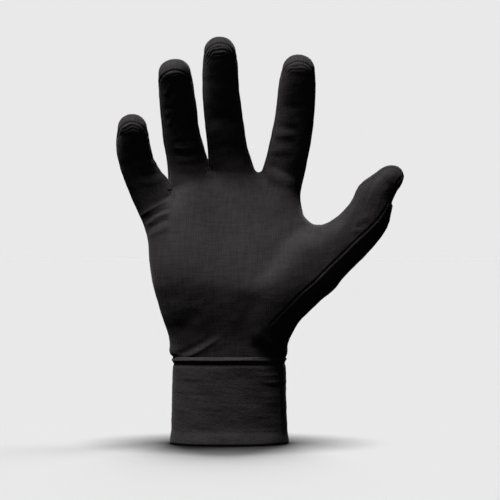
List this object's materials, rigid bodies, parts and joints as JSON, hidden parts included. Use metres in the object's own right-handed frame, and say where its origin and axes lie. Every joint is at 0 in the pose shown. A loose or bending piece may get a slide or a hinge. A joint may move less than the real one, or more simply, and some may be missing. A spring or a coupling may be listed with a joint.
{
  "type": "glove liner",
  "caption": "Thin black stretch jersey glove liner for the right hand, worn shape with spread fingers, sewn palm and back panels, fourchettes and a straight folded cuff.",
  "frame": {"origin": "middle of the wrist opening, on the plane of the cuff's hem", "axes": "+Z from the wrist opening towards the fingertips, +X towards the thumb, +Y out of the back of the hand; the palm faces -Y"},
  "size_m": [0.1651, 0.048, 0.234],
  "materials": {
    "jersey": "matt black fine-gauge stretch jersey with a soft sheen",
    "cuff_jersey": "matt black heathered jersey, folded double, with fine horizontal rows"
  },
  "bodies": {
    "root": {"palm_panel": "jersey", "back_panel": "jersey", "fourchette_middle_index": "jersey", "fourchette_ring_middle": "jersey", "fourchette_little_ring": "jersey", "cuff": "cuff_jersey"}
  },
  "joints": []
}
